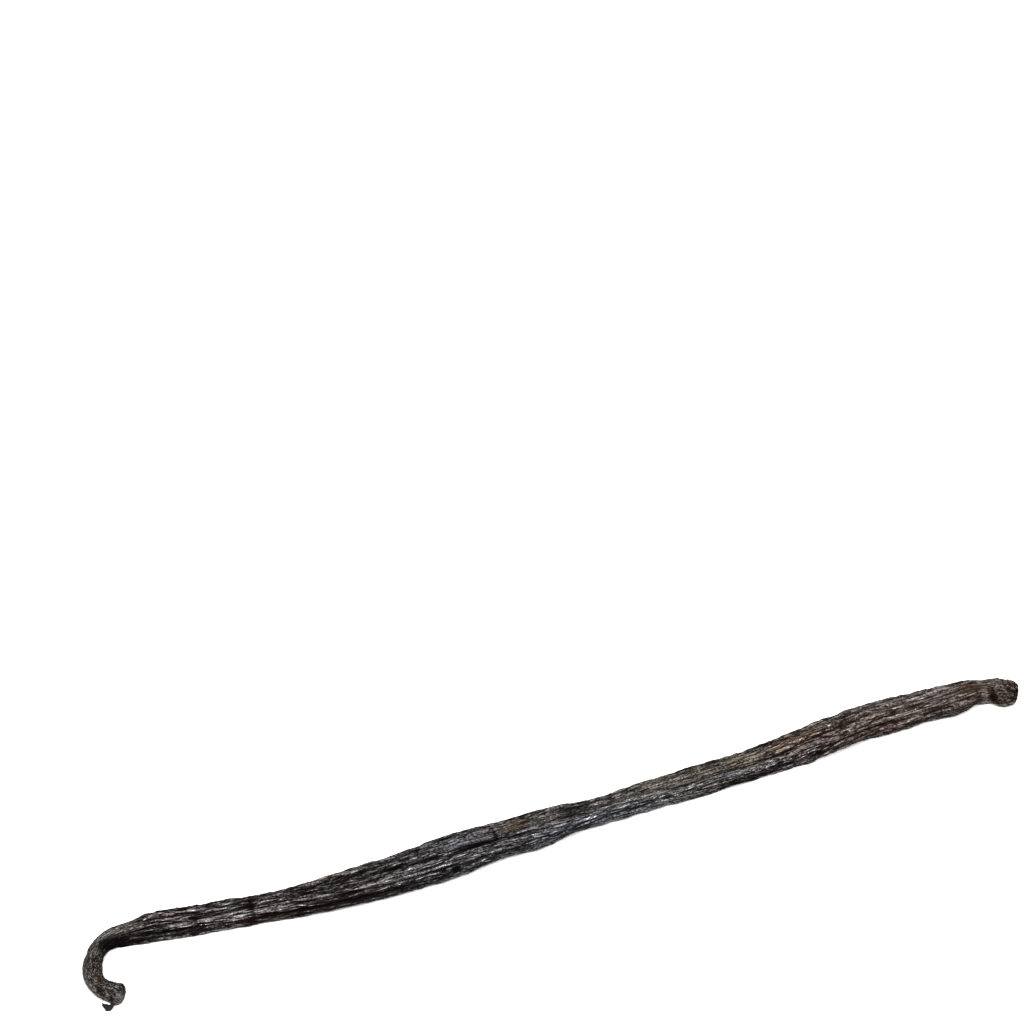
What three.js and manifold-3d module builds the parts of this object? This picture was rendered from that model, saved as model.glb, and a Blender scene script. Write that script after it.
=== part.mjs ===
// A cured vanilla pod, lying on its side: a crooked stalk with the scrap of its bract, a long
// three-sided body drawn into lengthwise folds, and the knob that the flower leaves at the tip.
//
// Units are millimetres. +X runs from the stalk towards the tip, +Z is up, and the origin is
// the middle of the pod's footprint on the table.
//
// The skin is a tube of rings. Each ring belongs to a distance s along the pod's middle line,
// and each corner of it to an angle phi round that line: 0 is the left side of somebody who
// walks from the stalk to the tip, a quarter turn is the top, and half a turn the right side.
import * as THREE from "three";
import { mergeVertices } from "three/addons/utils/BufferGeometryUtils.js";
import Module from "manifold-3d";

const { degToRad } = THREE.MathUtils;
const TURN = 2 * Math.PI;

// ---------------------------------------------------------------- driving dimensions

const LENGTH = 167.4; // along the middle line, from the stalk's end to the knob's

// The middle line seen from above: its first heading in degrees, and the bends that change it.
// A bend is spread evenly about `at`, takes the stretch `over`, and turns left by `turn` degrees.
const FIRST_HEADING = 144;
const BENDS = [
  { name: "crook of the stalk", at: 5.8, over: 9.6, turn: -90.9 },
  { name: "neck", at: 13, over: 5.4, turn: -58.6 },
  { name: "shoulder", at: 21.9, over: 7.5, turn: -3.8 },
  { name: "belly", at: 50.6, over: 39.1, turn: 11.2 },
  { name: "waist", at: 81.4, over: 20.2, turn: -1.6 },
  { name: "upper swell", at: 124.1, over: 17.4, turn: 4 },
  { name: "upper ease", at: 140.7, over: 9.6, turn: -7.3 },
  { name: "last rise", at: 156.6, over: 6, turn: 7.9 },
  { name: "drooping knob", at: 161.4, over: 4.9, turn: -34.5 },
];
const WALK_STEP = 0.1; // of the walk along the middle line

// Half the width at each distance along the pod.
const HALF_WIDTH = [
  [0, 1.74], // stalk's end, a little swollen where it broke from the vine
  [3.4, 1.47],
  [7.7, 1.24],
  [11.6, 1.3], // neck of the stalk
  [15.6, 1.71],
  [20, 2.23], // shoulder
  [35.7, 2.31],
  [51.5, 2.79],
  [67.5, 3.61], // belly
  [76.5, 3.15],
  [83, 2.97],
  [92.5, 2.31], // waist
  [110, 2.5],
  [119.5, 2.53],
  [129, 2.92], // upper swell
  [146, 2.88],
  [155.5, 2.67],
  [159.3, 2.48],
  [161.9, 2], // ring between the body and the knob
  [164.2, 2.02], // knob
  [LENGTH, 2.01],
];

// Half the height as a share of half the width.
const FLATNESS = [
  [0, 1],
  [14, 0.98],
  [26, 0.86],
  [68, 0.8],
  [120, 0.84],
  [158, 0.88],
  [LENGTH, 0.95],
];

// Height of the underside over the table. Below zero, the pod's weight presses it flat there.
const PRESSED = -0.2;
const UNDERSIDE = [
  [0, PRESSED], // stalk's end
  [7.5, 0.45],
  [14, 0.2],
  [23, PRESSED], // shoulder
  [42, 0.15],
  [60, PRESSED],
  [78, PRESSED], // belly
  [100, 0.15],
  [122, PRESSED],
  [134, PRESSED], // upper swell
  [150, 0.25],
  [LENGTH, 0.75], // lifted tip
];

// Three rounded edges run along the body, at `EDGE_ANGLE` and a third of a turn either side.
const EDGE_ANGLE = 142;
const EDGE_SHARE = [
  [0, 0],
  [14, 0.02],
  [30, 0.06],
  [68, 0.06],
  [95, 0.1],
  [125, 0.09],
  [158, 0.04],
  [LENGTH, 0.02],
];

// Sets of folds round the body. A fold is a rounded crest between two sharp valleys, and the
// whole set wavers from side to side along the pod.
const FOLDS = [
  { count: 7, depth: 0.3, waver: 0.9, pitch: 71, start: 0.4 },
  { count: 12, depth: 0.2, waver: 1.3, pitch: 43, start: 2.1 },
];
const FOLD_MEAN = 2 / Math.PI; // of |sin|, so that folds keep the pod's thickness
const SWELL_SHARE = 0.35; // by how much a set's depth comes and goes along the pod
const SWELL_PITCH_SHARE = 0.6; // how often, against the set's own pitch

// Where the folds are at their full depth.
const FOLDED = [
  [0, 0.25],
  [12, 0.45],
  [22, 1],
  [150, 1],
  [160, 0.6],
  [LENGTH, 0.35],
];

// Single deep furrows. Each fades in and out between its two ends, and its angle runs from the
// first value to the second on the way.
const FURROWS = [
  { name: "hollow under the neck", ends: [9, 36], angles: [178, 192], width: 13, depth: 0.55 },
  { name: "shoulder furrow", ends: [14, 36], angles: [126, 104], width: 6, depth: 0.42 },
  { name: "shoulder edge furrow", ends: [15, 38], angles: [146, 160], width: 6, depth: 0.36 },
  { name: "belly edge furrow", ends: [33, 70], angles: [158, 168], width: 6, depth: 0.32 },
  { name: "belly furrow", ends: [39, 67], angles: [124, 140], width: 7, depth: 0.45 },
  { name: "belly top furrow", ends: [39, 61], angles: [56, 68], width: 9, depth: 0.5 },
  { name: "furrow over the blister", ends: [52, 70], angles: [80, 112], width: 6, depth: 0.45 },
  { name: "furrow under the blister", ends: [66, 87], angles: [103, 122], width: 6, depth: 0.5 },
  { name: "waist top furrow", ends: [74, 120], angles: [52, 34], width: 8, depth: 0.42 },
  { name: "waist furrow", ends: [98, 134], angles: [112, 117], width: 6, depth: 0.32 },
  { name: "tip furrow", ends: [132, 163], angles: [149, 136], width: 6, depth: 0.42 },
  { name: "tip upper furrow", ends: [138, 157], angles: [126, 94], width: 6, depth: 0.36 },
  { name: "tip top furrow", ends: [128, 161], angles: [88, 72], width: 7, depth: 0.32 },
  { name: "long back furrow", ends: [20, 96], angles: [4, -14], width: 8, depth: 0.5 },
  { name: "short back furrow", ends: [88, 158], angles: [14, 32], width: 8, depth: 0.45 },
  { name: "front furrow", ends: [84, 150], angles: [206, 194], width: 6, depth: 0.3 },
];

// Swellings, and dents with a height below zero. Each is centred at `at` and `angle`, and fades
// over the length `over` and the angle `width` to either side.
const SWELLINGS = [
  { name: "inside of the crook", at: 7.4, over: 2.4, angle: 195, width: 60, height: 0.5 },
  { name: "dent over the neck", at: 17, over: 3, angle: 40, width: 40, height: -0.22 },
  { name: "back dent", at: 40.5, over: 5, angle: 40, width: 40, height: -0.25 },
  { name: "back shoulder", at: 53.5, over: 4, angle: 45, width: 40, height: 0.28 },
  { name: "front belly", at: 64.5, over: 5, angle: 212, width: 36, height: -0.08 },
  { name: "blister", at: 71.5, over: 4, angle: 112, width: 14, height: 0.3 },
  { name: "front dent", at: 76.3, over: 3, angle: 212, width: 36, height: -0.34 },
  { name: "back waist dent", at: 82.5, over: 3.5, angle: 45, width: 40, height: -0.22 },
  { name: "front rise", at: 83, over: 4.5, angle: 212, width: 36, height: 0.24 },
  { name: "back rise", at: 87.5, over: 3.5, angle: 45, width: 40, height: 0.22 },
  { name: "front waist dent", at: 89.5, over: 4, angle: 212, width: 36, height: -0.42 },
  { name: "back waist rise", at: 102, over: 5, angle: 45, width: 40, height: 0.24 },
  { name: "front tip dent", at: 137.5, over: 5, angle: 212, width: 36, height: -0.24 },
  { name: "back tip dent", at: 147, over: 6, angle: 45, width: 40, height: -0.22 },
  { name: "dent before the knob", at: 159.4, over: 2.6, angle: 212, width: 34, height: -0.36 },
];

// Low lumps on the knob.
const LUMPS = { count: 5, share: 0.07, from: 162, full: 164, slant: 0.8 };

// The ends are domes of this length, the stalk's blunter than the tip's.
const STALK_DOME = { length: 1.2, bluntness: 2.5 };
const TIP_DOME = { length: 1.9, bluntness: 2.4 };

// The scrap of dried bract at the stalk's end: its way out of the stalk as stations of distance
// from the stalk's end along the pod, distance to its left, height over the table, and radius.
const SCRAP = [
  [1.3, 0.8, 1.25, 0.4],
  [1.35, 1.5, 1.05, 0.25],
  [1.4, 1.9, 0.85, 0.26],
  [1.75, 2.15, 0.68, 0.4],
  [2.2, 2.2, 0.68, 0.42],
  [2.75, 2.1, 0.9, 0.18],
];
const SCRAP_SIDES = 8;
const SCRAP_CRUMPLE = 0.22;

// Rings and their corners.
const SIDES = 48;
const RING_STEPS = [
  { until: 18, step: 0.9 },
  { until: 156, step: 1.8 },
  { until: LENGTH, step: 0.75 },
];
const DOME_RINGS = 3;

// ---------------------------------------------------------------- curves of one variable

// From 0 to 1 with level ends, as t goes from 0 to 1.
function ease(t) {
  const c = THREE.MathUtils.clamp(t, 0, 1);
  return c * c * (3 - 2 * c);
}

// The value at s of a smooth curve through [s, value] stations.
function through(stations, s) {
  const last = stations.length - 1;
  if (s <= stations[0][0]) return stations[0][1];
  if (s >= stations[last][0]) return stations[last][1];
  const i = stations.findIndex(([at]) => at > s) - 1;
  const slope = (k) => {
    const a = stations[Math.max(k - 1, 0)];
    const b = stations[Math.min(k + 1, last)];
    return (b[1] - a[1]) / (b[0] - a[0]);
  };
  const [s0, v0] = stations[i];
  const [s1, v1] = stations[i + 1];
  const span = s1 - s0;
  const t = (s - s0) / span;
  const bend0 = slope(i) * span - (v1 - v0);
  const bend1 = v1 - v0 - slope(i + 1) * span;
  return v0 + t * (v1 - v0) + t * (1 - t) * ((1 - t) * bend0 + t * bend1);
}

// ---------------------------------------------------------------- middle line

function headingAt(s) {
  const turned = BENDS.map(({ at, over, turn }) => turn * ease((s - at) / over + 0.5));
  return degToRad(turned.reduce((sum, turn) => sum + turn, FIRST_HEADING));
}

// Points of the middle line, `WALK_STEP` apart, from a walk that starts at the stalk's end.
function walk() {
  const points = [new THREE.Vector2(0, 0)];
  const steps = Math.round(LENGTH / WALK_STEP);
  for (let k = 0; k < steps; k++) {
    const heading = headingAt((k + 0.5) * WALK_STEP);
    const step = new THREE.Vector2(Math.cos(heading), Math.sin(heading));
    points.push(points[k].clone().addScaledVector(step, WALK_STEP));
  }
  return points;
}

const middleLine = walk();

function middleAt(s) {
  const k = THREE.MathUtils.clamp(s / WALK_STEP, 0, middleLine.length - 1.001);
  const before = Math.floor(k);
  return middleLine[before].clone().lerp(middleLine[before + 1], k - before);
}

// ---------------------------------------------------------------- outline of a ring

// How far the domes have closed in at s: 1 on the body, 0 at the very ends.
function domeAt(s) {
  const close = (distance, { length, bluntness }) => {
    const left = Math.max(0, 1 - distance / length);
    return Math.pow(1 - Math.pow(left, bluntness), 1 / bluntness);
  };
  return close(s, STALK_DOME) * close(LENGTH - s, TIP_DOME);
}

// Height of the folds over the mean skin, in millimetres.
function foldsAt(phi, s) {
  return FOLDS.reduce((sum, { count, depth, waver, pitch, start }) => {
    const phase = waver * Math.sin((TURN * s) / pitch + start) + start;
    const crest = Math.abs(Math.sin((count * phi + phase) / 2)) - FOLD_MEAN;
    const swell = 1 + SWELL_SHARE * Math.sin((TURN * s) / (SWELL_PITCH_SHARE * pitch) + start);
    return sum + depth * swell * crest;
  }, 0);
}

// How far round the pod phi is from an angle in degrees, as a share of a width in degrees.
function apart(phi, angle, width) {
  const turned = phi - degToRad(angle);
  return Math.atan2(Math.sin(turned), Math.cos(turned)) / degToRad(width);
}

// Depth of the single furrows, in millimetres.
function furrowsAt(phi, s) {
  return FURROWS.reduce((sum, { ends, angles, width, depth }) => {
    const t = (s - ends[0]) / (ends[1] - ends[0]);
    if (t <= 0 || t >= 1) return sum;
    const across = apart(phi, THREE.MathUtils.lerp(angles[0], angles[1], t), width);
    return sum + depth * Math.sin(Math.PI * t) * Math.exp(-across * across);
  }, 0);
}

// Height of the swellings and dents, in millimetres.
function swellingsAt(phi, s) {
  return SWELLINGS.reduce((sum, { at, over, angle, width, height }) => {
    const along = (s - at) / over;
    const across = apart(phi, angle, width);
    return sum + height * Math.exp(-along * along - across * across);
  }, 0);
}

// The corners of the pod's section at s, as [to the left, up] from the middle line.
function sectionAt(s) {
  const half = through(HALF_WIDTH, s);
  const flat = through(FLATNESS, s);
  const edge = through(EDGE_SHARE, s);
  const folded = through(FOLDED, s);
  const lumpy = LUMPS.share * ease((s - LUMPS.from) / (LUMPS.full - LUMPS.from));
  const corners = [];
  for (let k = 0; k < SIDES; k++) {
    const phi = (TURN * k) / SIDES;
    const round = 1 + edge * Math.cos(3 * (phi - degToRad(EDGE_ANGLE)));
    const lumps = lumpy * Math.sin(LUMPS.count * phi + LUMPS.slant * s);
    const relief = folded * (foldsAt(phi, s) - furrowsAt(phi, s)) + swellingsAt(phi, s);
    const radius = half * (round + lumps) + relief;
    corners.push(new THREE.Vector2(radius * Math.cos(phi), radius * Math.sin(phi) * flat));
  }
  return corners;
}

// ---------------------------------------------------------------- skin of the pod

// Where the rings are: close together on the stalk and the knob, and closest on the domes.
function ringPlaces() {
  const intoDome = (length, k) => length * (1 - Math.cos(((Math.PI / 2) * k) / (DOME_RINGS + 1)));
  const domeRings = Array.from({ length: DOME_RINGS }, (_, k) => k + 1);
  const places = domeRings.map((k) => intoDome(STALK_DOME.length, k));
  for (let s = STALK_DOME.length; s < LENGTH - TIP_DOME.length; ) {
    places.push(s);
    s += RING_STEPS.find(({ until }) => s < until).step;
  }
  places.push(...domeRings.map((k) => LENGTH - intoDome(TIP_DOME.length, k)).reverse());
  return places;
}

// Height of the middle line at s: the section stands on its underside.
function middleHeightAt(s) {
  const lowest = Math.min(...sectionAt(s).map((corner) => corner.y));
  return through(UNDERSIDE, s) - lowest;
}

// A point of the middle line at s, in space.
function middlePointAt(s) {
  const { x, y } = middleAt(s);
  return new THREE.Vector3(x, y, middleHeightAt(s));
}

// The section at s set across the middle line, with what would be under the table pressed flat.
function ringAt(s) {
  const heading = headingAt(s);
  const left = new THREE.Vector3(-Math.sin(heading), Math.cos(heading), 0);
  const middle = middlePointAt(s);
  const dome = domeAt(s);
  return sectionAt(s).map((corner) => {
    const point = middle.clone().addScaledVector(left, corner.x * dome);
    point.z = Math.max(0, point.z + corner.y * dome);
    return point;
  });
}

// A closed surface over rings that have equally many corners, with a point at either end.
function skinOver(rings, firstPoint, lastPoint) {
  const sides = rings[0].length;
  const points = [firstPoint, ...rings.flat(), lastPoint];
  const corner = (ring, k) => 1 + ring * sides + (k % sides);
  const lastRing = rings.length - 1;
  const faces = [];
  for (let k = 0; k < sides; k++) {
    faces.push(0, corner(0, k + 1), corner(0, k));
    for (let ring = 0; ring < lastRing; ring++) {
      const [a, b] = [corner(ring, k), corner(ring, k + 1)];
      const [c, d] = [corner(ring + 1, k), corner(ring + 1, k + 1)];
      faces.push(a, b, c, b, d, c);
    }
    faces.push(points.length - 1, corner(lastRing, k), corner(lastRing, k + 1));
  }
  return new THREE.BufferGeometry().setFromPoints(points).setIndex(faces);
}

function podSkin() {
  const rings = ringPlaces().map(ringAt);
  return skinOver(rings, middlePointAt(0), middlePointAt(LENGTH));
}

// ---------------------------------------------------------------- scrap of bract

function scrapSkin() {
  const heading = headingAt(0);
  const along = new THREE.Vector3(Math.cos(heading), Math.sin(heading), 0);
  const left = new THREE.Vector3(-Math.sin(heading), Math.cos(heading), 0);
  const places = SCRAP.map(([x, y, z]) =>
    new THREE.Vector3(0, 0, z).addScaledVector(along, x).addScaledVector(left, y),
  );
  const curve = new THREE.CatmullRomCurve3(places);
  const steps = SCRAP.length - 1;
  const { normals, binormals } = curve.computeFrenetFrames(steps, false);
  const rings = SCRAP.map(([, , , radius], ring) =>
    Array.from({ length: SCRAP_SIDES }, (_, k) => {
      const phi = (TURN * k) / SCRAP_SIDES;
      const crumpled = radius * (1 + SCRAP_CRUMPLE * Math.sin(3 * phi + 2 * ring));
      return places[ring]
        .clone()
        .addScaledVector(normals[ring], crumpled * Math.cos(phi))
        .addScaledVector(binormals[ring], crumpled * Math.sin(phi));
    }),
  );
  return skinOver(rings, places[0], places[steps]);
}

// ---------------------------------------------------------------- one solid

const wasm = await Module();
wasm.setup();

function solidOf(geometry) {
  const merged = mergeVertices(geometry, 1e-4);
  const mesh = new wasm.Mesh({
    numProp: 3,
    vertProperties: merged.attributes.position.array,
    triVerts: new Uint32Array(merged.index.array),
  });
  return new wasm.Manifold(mesh);
}

function geometryOf(solid) {
  const { vertProperties, triVerts } = solid.getMesh();
  return new THREE.BufferGeometry()
    .setAttribute("position", new THREE.BufferAttribute(vertProperties, 3))
    .setIndex(new THREE.BufferAttribute(triVerts, 1));
}

// Moves a geometry so that the middle of its footprint is the origin.
function centred(geometry) {
  geometry.computeBoundingBox();
  const middle = geometry.boundingBox.getCenter(new THREE.Vector3());
  return geometry.translate(-middle.x, -middle.y, 0);
}

const podGeometry = centred(geometryOf(solidOf(podSkin()).add(solidOf(scrapSkin()))));
podGeometry.computeVertexNormals();

const curedSkin = new THREE.MeshStandardMaterial({
  color: 0x2b211e,
  roughness: 0.5,
  metalness: 0,
});

const pod = new THREE.Mesh(podGeometry, curedSkin);
pod.name = "pod";

const part = new THREE.Group();
part.add(pod);

export default part;
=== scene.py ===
# %% [markdown]
# # A cured vanilla pod
#
# The object is one dried pod on a pale table: a crooked stalk, a long three-sided body with deep
# lengthwise wrinkles, and the knob that the flower left at its tip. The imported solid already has
# the size and the main shape. This lesson dresses it: one dense skin that follows the same middle
# line and the same sections, with the fine wrinkles and the oily finish of a real pod.
#
# Lengths are written in millimetres, as a cook would measure a pod, and `MM` turns them into
# Blender's metres at the moment when something is placed.

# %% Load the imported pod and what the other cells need
from math import cos, pi, radians, sin

import bpy
import numpy as np
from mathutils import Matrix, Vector, noise


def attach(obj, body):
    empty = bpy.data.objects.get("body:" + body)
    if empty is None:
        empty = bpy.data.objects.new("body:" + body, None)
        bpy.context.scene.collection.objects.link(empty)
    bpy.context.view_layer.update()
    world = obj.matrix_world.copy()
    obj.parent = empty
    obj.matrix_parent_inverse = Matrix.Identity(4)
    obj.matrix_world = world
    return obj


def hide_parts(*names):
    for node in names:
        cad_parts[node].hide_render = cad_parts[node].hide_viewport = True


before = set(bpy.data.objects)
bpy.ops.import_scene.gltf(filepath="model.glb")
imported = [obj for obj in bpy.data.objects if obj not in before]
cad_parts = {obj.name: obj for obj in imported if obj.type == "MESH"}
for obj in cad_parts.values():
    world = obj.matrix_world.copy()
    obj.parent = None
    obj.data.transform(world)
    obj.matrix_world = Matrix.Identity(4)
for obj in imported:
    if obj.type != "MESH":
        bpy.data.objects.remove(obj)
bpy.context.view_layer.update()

MM = 0.001


# %% [markdown]
# ## The camera
#
# The viewer stands at the table and looks down on it at about half a right angle, with a long
# lens, so that the pod keeps its proportions from end to end. The camera is placed by the point
# that it looks at, its distance, and its two angles. A `track quaternion` turns it to look at the
# point, which is easier to read than three Euler angles.

# %% Make the camera
LOOK_AT = Vector((16.68, 69.47, 0)) * MM
CAMERA_DISTANCE = 500 * MM
CAMERA_AZIMUTH = radians(-20.8)
CAMERA_ELEVATION = radians(46)
LENS = 100  # focal length, and below it the sensor's width, in millimetres
SENSOR_WIDTH = 36

away = Vector(
    (
        sin(CAMERA_AZIMUTH) * cos(CAMERA_ELEVATION),
        -cos(CAMERA_AZIMUTH) * cos(CAMERA_ELEVATION),
        sin(CAMERA_ELEVATION),
    )
)
bpy.ops.object.camera_add(location=LOOK_AT + away * CAMERA_DISTANCE)
camera = bpy.context.object
camera.name = "camera"
camera.rotation_mode = "QUATERNION"
camera.rotation_quaternion = (-away).to_track_quat("-Z", "Y")
camera.data.lens = LENS
camera.data.sensor_width = SENSOR_WIDTH
bpy.context.scene.camera = camera
print("camera at", [round(x / MM) for x in camera.location], "mm")


# %% [markdown]
# ## Table and light
#
# A dark, wrinkled, slightly oily thing shows its form by what it reflects. One long narrow
# softbox hangs along the pod, over the viewer's shoulder, so that the rounded edge along the
# pod's side catches it and each crest gets a thin bright line. A wide one overhead fills in the
# upper faces. The pale table sends light back up into the lower side.

# %% A pale floor
FLOOR_SIZE = 8.0
FLOOR_COLOUR = (0.5, 0.5, 0.495, 1)
FLOOR_ROUGHNESS = 0.7


def deselect_all():
    """Leaves edit mode and lets go of everything, so that the next operator acts on one thing."""
    if bpy.context.object and bpy.context.object.mode != "OBJECT":
        bpy.ops.object.mode_set(mode="OBJECT")
    bpy.ops.object.select_all(action="DESELECT")


def new_material(name):
    """A material made of nodes, and its shader."""
    material = bpy.data.materials.new(name)
    material.use_nodes = True
    return material, material.node_tree.nodes["Principled BSDF"]


deselect_all()
bpy.ops.mesh.primitive_plane_add(size=FLOOR_SIZE)
floor = bpy.context.object
floor.name = "floor"
floor_paint, floor_shader = new_material("floor paint")
floor_shader.inputs["Base Color"].default_value = FLOOR_COLOUR
floor_shader.inputs["Roughness"].default_value = FLOOR_ROUGHNESS
floor.data.materials.append(floor_paint)
print("floor:", FLOOR_SIZE, "m square")


# %% Soft lights and a pale room
SOFTBOXES = [  # each hangs at its place, in millimetres, and faces the middle of the table
    {"name": "softbox over the shoulder", "at": (-110, -300, 540), "long": 620, "wide": 50, "watts": 14.5},
    {"name": "softbox overhead", "at": (20, 0, 640), "long": 720, "wide": 420, "watts": 5.1},
]
ROOM_COLOUR = (0.95, 0.97, 1.0, 1)
ROOM_STRENGTH = 0.12

for box in SOFTBOXES:
    hung_at = Vector(box["at"]) * MM
    bpy.ops.object.light_add(type="AREA", location=hung_at)
    light = bpy.context.object
    light.name = box["name"].replace(" ", "_")
    light.data.shape = "RECTANGLE"
    light.data.size = box["long"] * MM
    light.data.size_y = box["wide"] * MM
    light.data.energy = box["watts"]
    light.rotation_mode = "QUATERNION"
    light.rotation_quaternion = (-hung_at).to_track_quat("-Z", "Y")

room = bpy.data.worlds.new("room")
room.use_nodes = True
background = room.node_tree.nodes["Background"]
background.inputs["Color"].default_value = ROOM_COLOUR
background.inputs["Strength"].default_value = ROOM_STRENGTH
bpy.context.scene.world = room
bpy.context.scene.view_settings.view_transform = "Standard"
print(len(SOFTBOXES), "soft lights and a room of strength", ROOM_STRENGTH)


# %% [markdown]
# ## The named sizes of the pod
#
# A pod is measured along its middle line: how far from the stalk's end (`s`), and how far round
# (`phi`: 0 is the left side of somebody who walks from the stalk to the tip, 90 degrees the top,
# 180 the right side, which the camera sees). Everything about its form is written in these two
# numbers, which is how a modeller would sketch it: a bent line, widths along it, and marks on it.
# A station is an `s` with the value there, and a smooth curve runs through the stations.

# %% The middle line and the widths along it
LENGTH = 167.4
STALK_END = Vector((-74.23, -5.66))  # where the middle line starts on the table
FIRST_HEADING = 144  # degrees from +X
BENDS = [  # where, over what length, and how many degrees to the left
    (5.8, 9.6, -90.9),  # crook of the stalk
    (13, 5.4, -58.6),  # neck
    (21.9, 7.5, -3.8),  # shoulder
    (50.6, 39.1, 11.2),  # belly
    (81.4, 20.2, -1.6),  # waist
    (124.1, 17.4, 4),  # upper swell
    (140.7, 9.6, -7.3),  # upper ease
    (156.6, 6, 7.9),  # last rise
    (161.4, 4.9, -34.5),  # drooping knob
]
HALF_WIDTH = [
    (0, 1.74), (3.4, 1.47), (7.7, 1.24), (11.6, 1.3), (15.6, 1.71), (20, 2.23), (35.7, 2.31),
    (51.5, 2.79), (67.5, 3.61), (76.5, 3.15), (83, 2.97), (92.5, 2.31), (110, 2.5),
    (119.5, 2.53), (129, 2.92), (146, 2.88), (155.5, 2.67), (159.3, 2.48), (161.9, 2),
    (164.2, 2.02), (LENGTH, 2.01),
]
FLATNESS = [  # height of the section as a share of its width
    (0, 1), (14, 0.98), (26, 0.86), (68, 0.8), (120, 0.84), (158, 0.88), (LENGTH, 0.95),
]
PRESSED = -0.2  # an underside below the table is pressed flat on it
UNDERSIDE = [  # height of the lowest point over the table
    (0, PRESSED), (7.5, 0.45), (14, 0.2), (23, PRESSED), (42, 0.15), (60, PRESSED),
    (78, PRESSED), (100, 0.15), (122, PRESSED), (134, PRESSED), (150, 0.25), (LENGTH, 0.75),
]
EDGES = 3
EDGE_ANGLE = 142  # where the first edge runs
EDGE_SHARE = [  # how far the edges stand out, as a share of the half width
    (0, 0), (14, 0.02), (30, 0.06), (68, 0.06), (95, 0.1), (125, 0.09), (158, 0.04), (LENGTH, 0.02)
]


def ease(t):
    """From 0 to 1 with level ends, as t goes from 0 to 1."""
    t = np.clip(t, 0, 1)
    return t * t * (3 - 2 * t)


def through(stations, s):
    """The values at s of a smooth curve through (s, value) stations."""
    at, value = np.array(stations, float).T
    s = np.clip(s, at[0], at[-1])
    i = np.clip(np.searchsorted(at, s, side="right") - 1, 0, len(at) - 2)
    before = np.maximum(np.arange(len(at)) - 1, 0)
    after = np.minimum(np.arange(len(at)) + 1, len(at) - 1)
    slope = (value[after] - value[before]) / (at[after] - at[before])
    span = at[i + 1] - at[i]
    rise = value[i + 1] - value[i]
    t = (s - at[i]) / span
    bend0 = slope[i] * span - rise
    bend1 = rise - slope[i + 1] * span
    return value[i] + t * rise + t * (1 - t) * ((1 - t) * bend0 + t * bend1)


print("widest:", round(2 * max(width for _, width in HALF_WIDTH), 1), "mm across")


# %% [markdown]
# ## The blank
#
# A sculptor would start from a plain rod of clay. Here it is a cylinder primitive that lies along
# +X, closed with a fan at each end. Its lengthwise edges are cut twice with Subdivide: cutting
# only those edges gives clean rings, because each long face is split straight across. Rings and
# sides are close enough together to hold a wrinkle half a millimetre wide.

# %% A rod cut into rings
SIDES = 180
RING_CUTS = (22, 22)  # the second time cuts every piece that the first time left
ROD_RADIUS = 2.6

deselect_all()
bpy.ops.mesh.primitive_cylinder_add(
    vertices=SIDES,
    radius=ROD_RADIUS * MM,
    depth=LENGTH * MM,
    end_fill_type="TRIFAN",
    location=(LENGTH * MM / 2, 0, 0),
    rotation=(0, pi / 2, 0),
)
pod = bpy.context.object
pod.name = "pod_skin"
bpy.ops.object.transform_apply(location=True, rotation=True, scale=True)


def coordinates(mesh):
    """All points of a mesh as an array with a row for each."""
    flat = np.empty(3 * len(mesh.vertices))
    mesh.vertices.foreach_get("co", flat)
    return flat.reshape(-1, 3)


def select_lengthwise_edges(mesh):
    """Selects the edges that run along X, and nothing else."""
    ends = np.empty(2 * len(mesh.edges), int)
    mesh.edges.foreach_get("vertices", ends)
    x = coordinates(mesh)[:, 0][ends.reshape(-1, 2)]
    mesh.vertices.foreach_set("select", np.zeros(len(mesh.vertices), bool))
    mesh.polygons.foreach_set("select", np.zeros(len(mesh.polygons), bool))
    mesh.edges.foreach_set("select", np.ptp(x, axis=1) > MM / 100)


bpy.context.tool_settings.mesh_select_mode = (False, True, False)
for cuts in RING_CUTS:
    select_lengthwise_edges(pod.data)
    bpy.ops.object.mode_set(mode="EDIT")
    bpy.ops.mesh.subdivide(number_cuts=cuts)
    bpy.ops.object.mode_set(mode="OBJECT")
print("rod:", len(pod.data.vertices), "points,", len(pod.data.polygons), "faces")


# %% [markdown]
# ## Where each point of the rod belongs
#
# The rings stand evenly on the rod, but the two ends need some of them: a round end is drawn by
# rings that get smaller, not by rings that stand further along. So the outer rings are moved on
# to the end faces. After this cell every point has its `s` and `phi`, and a `close`, which is how
# far the end has closed in there: 1 on the body, 0 at the very end.

# %% Places of the rings, with round ends
END_RINGS = 16
STALK_DOME = {"length": 1.2, "bluntness": 2.5}
TIP_DOME = {"length": 1.9, "bluntness": 2.4}
SMALLEST_RING = 0.05  # as a share of the full ring


def end_places(dome):
    """Distances from the end of the rings that draw a round end."""
    share = np.linspace(SMALLEST_RING, 1, END_RINGS, endpoint=False)
    share = np.sin(share * pi / 2)
    bluntness = dome["bluntness"]
    return dome["length"] * (1 - (1 - share**bluntness) ** (1 / bluntness))


def closing(distance, dome):
    """How far a round end has closed in at a distance from it."""
    left = np.clip(1 - distance / dome["length"], 0, 1)
    return (1 - left ** dome["bluntness"]) ** (1 / dome["bluntness"])


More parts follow.
